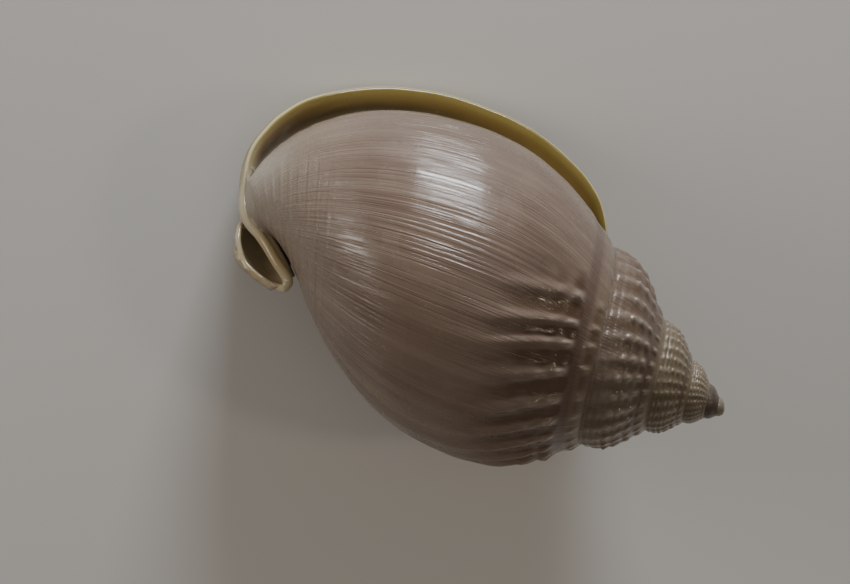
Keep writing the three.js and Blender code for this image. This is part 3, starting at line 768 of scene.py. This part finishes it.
# Colours of the shell, as light reflects from it, and how it shines.
shellFinish = {
    # crest is a painted highlight for the fold crests; brown is both the brown streaks and painted shade in
    # the fold valleys.
    "taupe": (0.26, 0.185, 0.14, 1), "mauve": (0.20, 0.138, 0.105, 1), "brown": (0.10, 0.052, 0.027, 1),
    "pale": (0.40, 0.32, 0.25, 1), "crest": (0.42, 0.35, 0.30, 1), "white": (0.52, 0.47, 0.40, 1),
    "channel": (0.10, 0.055, 0.042, 1), "seam": (0.34, 0.28, 0.19, 1),
    "spireOlive": (0.21, 0.17, 0.105, 1), "spireMauve": (0.19, 0.145, 0.105, 1),
    "apexPurple": (0.115, 0.085, 0.07, 1), "apexTip": (0.27, 0.23, 0.18, 1),
    # The first colour of this line is a painted highlight along the lip's crest.
    "lipCrestHighlight": (0.70, 0.62, 0.34, 1), "lipOlive": (0.24, 0.175, 0.04, 1), "lipPale": (0.29, 0.22, 0.065, 1),
    # lipShade is painted shade for the lip's gutter.
    "lipOrange": (0.16, 0.085, 0.02, 1), "lipShade": (0.05, 0.034, 0.01, 1), "teeth": (0.62, 0.55, 0.42, 1),
    "canalGrey": (0.36, 0.31, 0.21, 1), "canalCream": (0.62, 0.55, 0.38, 1),
    "canalTan": (0.52, 0.40, 0.20, 1), "shieldCream": (0.60, 0.52, 0.38, 1),
    "mouthTan": (0.40, 0.24, 0.13, 1), "mouthDark": (0.20, 0.10, 0.05, 1),
    "roughness": 0.24, "glossy": 0.2, "worn": (-0.05, 0.09),
    "coat": 0.34, "coatRoughness": 0.07,
}

# Patterns along the growth: scale along it, scale across it and detail.
growthPatterns = {"streaks": (46, 0.9, 4), "fineStreaks": (300, 1.1, 3), "spirals": (2.0, 60, 2)}
# Patterns in all directions: scale and detail.
evenPatterns = {"slow": (38, 4), "worn": (160, 4), "grain": (900, 2)}
# Bumps: strength and distance in metres.
bumps = {"lines": (0.55, 0.0003), "grain": (0.12, 0.0001)}

# Where each colour or bump begins and is full, and then its share at both, if that isn't 0 and 1.
# In turns of growth, in places across a whorl, round the lip's section or in the value of a pattern.
bands = {
    "taupe": (0.35, 0.65), "paleStreaks": (0.45, 0.72, 0, 0.3), "brownStreaks": (0.45, 0.25, 0, 0.3),
    "basePlaces": (1.35, 2.05), "baseTurns": (-0.6, -0.35),
    "whitePlaces": (1.72, 1.95), "whiteTurns": (-0.22, -0.05),
    "mauveTurns": (-2.3, -1.7), "spireStreaks": (0.4, 0.7, 0, 0.35),
    "purpleTurns": (-5.2, -4.4), "spireTurns": (-4.2, -3.4), "bodyTurns": (-1.35, -0.95),
    # Fold crests get a painted highlight, and fold valleys get painted shade.
    "ridgeHighlight": (0.55, 0.9, 0, 0.6), "valleys": (0.48, 0.28, 0, 0.75), "valleyShadeTurns": (-1.3, -0.9, 0.35, 1),
    "channel": (0.075, 0.02, 0, 0.5), "channelTurns": (-3.4, -2.6),
    # The crest bands place the painted highlight along the lip's crest.
    "lipPale": (0.35, 0.65), "crestHighlightStarts": (0.0, 0.03), "crestHighlightEnds": (0.085, 0.045),
    "orange": (0.15, 0.23), "orangeStreaks": (0.3, 0.6, 0.4, 0.8),
    # The shade bands place painted shade in the lip's gutter, deeper toward the front.
    "shade": (0.2, 0.28), "shadeFront": (0.02, -0.03, 0.2, 1), "teeth": (0.46, 0.54),
    "tan": (0.4, 0.65), "mouth": (0.35, 0.65), "canal": (0.4, 0.7, 0, 0.6),
    "worn": (0.35, 0.7), "gutterStarts": (0.13, 0.2), "gutterEnds": (0.46, 0.42),
    "lines": (0.4, 0.6, 0, 0.5), "cords": (-0.2, 1), "cordPlaces": (1.55, 1.66),
    "cordsStart": (-0.45, -0.32), "cordsEnd": (-0.06, -0.16),
    "linesOffGloss": (0.2, 0), "lineTurns": (-1.4, -0.95, 0.25, 1), "linePlaces": (0.25, 1.1, 0.3, 1),
}
colourShares = {"base": 0.75, "white": 0.7, "seam": 0.5, "spirals": 0.15}


def makeShellMaterial():
    f = shellFinish
    material = bpy.data.materials.new("shellFinish")
    material.use_nodes = True
    tree = material.node_tree
    shader = tree.nodes["Principled BSDF"]
    growth, across = mark(tree, "growth"), mark(tree, "across")
    fold, cord = mark(tree, "fold"), mark(tree, "cord")

    def band(value, name):
        return remap(tree, value, *bands[name])

    def times(a, b):
        return maths(tree, "MULTIPLY", a, b)

    slow = blotches(tree, *evenPatterns["slow"])
    streaks = pattern(tree, growth, across, *growthPatterns["streaks"])
    fineStreaks = pattern(tree, growth, across, *growthPatterns["fineStreaks"])
    spirals = pattern(tree, growth, across, *growthPatterns["spirals"])

    # The body whorl, paler toward the base and the canal.
    body = blend(tree, band(slow, "taupe"), f["mauve"], f["taupe"])
    body = blend(tree, band(streaks, "paleStreaks"), body, f["pale"])
    body = blend(tree, band(streaks, "brownStreaks"), body, f["brown"])
    nearBase = times(band(across, "basePlaces"), band(growth, "baseTurns"))
    body = blend(tree, times(nearBase, colourShares["base"]), body, f["pale"])
    nearCanal = times(band(across, "whitePlaces"), band(growth, "whiteTurns"))
    body = blend(tree, times(nearCanal, colourShares["white"]), body, f["white"])

    # The spire, from its tip on.
    spire = blend(tree, band(growth, "mauveTurns"), f["spireOlive"], f["spireMauve"])
    spire = blend(tree, band(streaks, "spireStreaks"), spire, f["pale"])
    early = blend(tree, band(growth, "purpleTurns"), f["apexTip"], f["apexPurple"])
    spire = blend(tree, band(growth, "spireTurns"), early, spire)
    colour = blend(tree, band(growth, "bodyTurns"), spire, body)

    # Painted highlight on the fold crests and painted shade in the fold valleys, then the channel and the
    # seam.
    colour = blend(tree, band(fold, "ridgeHighlight"), colour, f["crest"])
    foldValleyShade = times(band(fold, "valleys"), band(growth, "valleyShadeTurns"))
    colour = blend(tree, foldValleyShade, colour, f["brown"])
    fromChannel = maths(tree, "ABSOLUTE", maths(tree, "SUBTRACT", across, fineRelief["channelPlace"]))
    channel = times(band(fromChannel, "channel"), band(growth, "channelTurns"))
    colour = blend(tree, channel, colour, f["channel"])
    colour = blend(tree, times(cord, colourShares["seam"]), colour, f["seam"])

    # The lip: a pale crest that is a painted highlight, an orange back, painted shade in the gutter, and the
    # teeth inside.
    back = mark(tree, "lipBack")
    lip = blend(tree, band(streaks, "lipPale"), f["lipOlive"], f["lipPale"])
    # A pale line along the lip's crest: painted highlight.
    lip = blend(tree, times(band(back, "crestHighlightEnds"), band(back, "crestHighlightStarts")), lip, f["lipCrestHighlight"])
    orange = times(band(back, "orange"), band(streaks, "orangeStreaks"))
    lip = blend(tree, orange, lip, f["lipOrange"])
    spot = addNode(tree, "ShaderNodeSeparateXYZ", values={
        "Vector": addNode(tree, "ShaderNodeTexCoord").outputs["Object"]})
    # Painted shade in the gutter behind the crest, deeper toward the front of the lip.
    shade = times(band(back, "shade"), band(spot.outputs["X"], "shadeFront"))
    lip = blend(tree, shade, lip, f["lipShade"])
    lip = blend(tree, band(back, "teeth"), lip, f["teeth"])
    colour = blend(tree, mark(tree, "lip"), colour, lip)

    # The bead round the canal, the shield, the inside of the mouth and the canal.
    bead = blend(tree, band(slow, "tan"), f["canalCream"], f["canalTan"])
    colour = blend(tree, mark(tree, "bead"), colour, bead)
    colour = blend(tree, mark(tree, "shield"), colour, f["shieldCream"])
    inside = blend(tree, band(slow, "mouth"), f["mouthDark"], f["mouthTan"])
    colour = blend(tree, mark(tree, "mouth"), colour, inside)
    canal = blend(tree, band(slow, "canal"), f["canalGrey"], f["mouthTan"])
    colour = blend(tree, mark(tree, "canal"), colour, canal)
    tree.links.new(colour, shader.inputs["Base Color"])

    # How it shines: the lip, the canal and the shield are glossier, and the gutter has no coat.
    glossyPlaces = maths(tree, "MAXIMUM", maths(tree, "MAXIMUM", mark(tree, "lip"), mark(tree, "bead")),
                         maths(tree, "MAXIMUM", mark(tree, "shield"), mark(tree, "canal")))
    worn = remap(tree, blotches(tree, *evenPatterns["worn"]), *bands["worn"], *f["worn"])
    roughness = maths(tree, "ADD", remap(tree, glossyPlaces, 0, 1, f["roughness"], f["glossy"]), worn)
    gutter = times(band(back, "gutterStarts"), band(back, "gutterEnds"))
    tree.links.new(roughness, shader.inputs["Roughness"])
    tree.links.new(remap(tree, gutter, 0, 1, f["coat"], 0), shader.inputs["Coat Weight"])
    shader.inputs["Coat Roughness"].default_value = f["coatRoughness"]

    # Growth lines, spiral lines and the cords of the base as a bump, off the glossy places.
    lines = maths(tree, "ADD", band(fineStreaks, "lines"), times(spirals, colourShares["spirals"]))
    cordWave = maths(tree, "SINE", times(across, 2 * math.pi * fineRelief["baseCordCount"]))
    onBase = times(band(across, "cordPlaces"), band(growth, "cordsStart"))
    onBase = times(onBase, band(growth, "cordsEnd"))
    lines = maths(tree, "ADD", lines, times(band(cordWave, "cords"), onBase))
    lines = times(lines, band(glossyPlaces, "linesOffGloss"))
    lines = times(lines, band(growth, "lineTurns"))
    lines = times(lines, band(across, "linePlaces"))
    strength, distance = bumps["lines"]
    lineBump = addNode(tree, "ShaderNodeBump", values={
        "Height": lines, "Strength": strength, "Distance": distance})
    strength, distance = bumps["grain"]
    grain = addNode(tree, "ShaderNodeBump", values={
        "Height": blotches(tree, *evenPatterns["grain"]), "Strength": strength, "Distance": distance,
        "Normal": lineBump.outputs[0]})
    tree.links.new(grain.outputs[0], shader.inputs["Normal"])
    tree.links.new(grain.outputs[0], shader.inputs["Coat Normal"])
    return material


print("shell: making the surface")
bonnetShell = makeShell()
bonnetShell.data.materials.clear()
bonnetShell.data.materials.append(makeShellMaterial())
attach(bonnetShell, "root")
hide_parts("shell")


# Floor: plain and pale, under everything.
floorLook = {"size": 4.0, "colour": (0.8, 0.79, 0.77, 1), "roughness": 0.75}


def makeFloor():
    half = floorLook["size"] / 2
    mesh = bpy.data.meshes.new("floor")
    corners = [(-half, -half, 0), (half, -half, 0), (half, half, 0), (-half, half, 0)]
    mesh.from_pydata(corners, [], [(0, 1, 2, 3)])
    floor = bpy.data.objects.new("floor", mesh)
    bpy.context.scene.collection.objects.link(floor)
    material = bpy.data.materials.new("paleFloor")
    material.use_nodes = True
    shader = material.node_tree.nodes["Principled BSDF"]
    shader.inputs["Base Color"].default_value = floorLook["colour"]
    shader.inputs["Roughness"].default_value = floorLook["roughness"]
    mesh.materials.append(material)
    return floor


makeFloor()

# Camera: square to the shell's back, as the photograph was taken. Pixels are of the 850 by 584 frame.
view = {
    "turn": 21.3, "pixelsPerMm": 5.37, "zeroPixel": (732, 413.3), "frame": (850, 584),
    "distance": 1600.0, "sensor": 36.0,  # millimetres
    "clip": (0.05, 20),                  # metres
}


def makeCamera():
    turn = math.radians(view["turn"])
    right = Vector((math.cos(turn), math.sin(turn), 0))
    up = Vector((-math.sin(turn), math.cos(turn), 0))
    towards = Vector((0, 0, 1))
    width, height = view["frame"]
    sideways = (width / 2 - view["zeroPixel"][0]) / view["pixelsPerMm"]
    upward = (view["zeroPixel"][1] - height / 2) / view["pixelsPerMm"]
    at = right * sideways + up * upward + towards * view["distance"]
    data = bpy.data.cameras.new("camera")
    data.sensor_width = view["sensor"]
    data.lens = view["sensor"] * view["distance"] / (width / view["pixelsPerMm"])
    data.clip_start, data.clip_end = view["clip"]
    camera = bpy.data.objects.new("camera", data)
    bpy.context.scene.collection.objects.link(camera)
    turned = Matrix((right, up, towards)).transposed()
    camera.matrix_world = Matrix.Translation(toPart @ at) @ (rest @ turned).to_4x4()
    bpy.context.scene.camera = camera


makeCamera()

# Lights: direction from the shell in its own axes, distance and size in metres, power in watts.
lights = {
    "overhead": {
        "from": (-0.2, 0.94, 0.28), "distance": 0.7, "size": (0.25, 0.2), "power": 4.7,
        "colour": (0.94, 0.97, 1)},
    "window": {
        "from": (-0.86, -0.16, 0.47), "distance": 0.9, "size": (0.4, 0.2), "power": 1.7,
        "colour": (1, 0.93, 0.84)},
    "glint": {
        "from": (0.8, 0.14, 0.58), "distance": 0.9, "size": (0.1, 0.1), "power": 0.45,
        "colour": (1, 0.85, 0.62)},
    "fill": {
        "from": (0.3, -0.2, 1.0), "distance": 1.2, "size": (0.9, 0.9), "power": 0.6,
        "colour": (1, 0.88, 0.76)},
}
lightsAim = (-58, 8, 0)  # the middle of the shell, in millimetres as it was drawn
studio = {"colour": (0.95, 0.87, 0.78, 1), "strength": 0.13}


def makeLights():
    target = toPart @ Vector(lightsAim)
    for name, values in lights.items():
        data = bpy.data.lights.new(name, "AREA")
        data.shape = "RECTANGLE"
        data.size, data.size_y = values["size"]
        data.energy = values["power"]
        data.color = values["colour"]
        lamp = bpy.data.objects.new(name, data)
        bpy.context.scene.collection.objects.link(lamp)
        direction = (rest @ Vector(values["from"])).normalized()
        lamp.location = target + direction * values["distance"]
        lamp.rotation_euler = direction.to_track_quat("Z", "Y").to_euler()
    world = bpy.data.worlds.new("studio")
    bpy.context.scene.world = world
    world.use_nodes = True
    background = world.node_tree.nodes["Background"]
    background.inputs["Color"].default_value = studio["colour"]
    background.inputs["Strength"].default_value = studio["strength"]


makeLights()
print("floor, camera and lights: done")
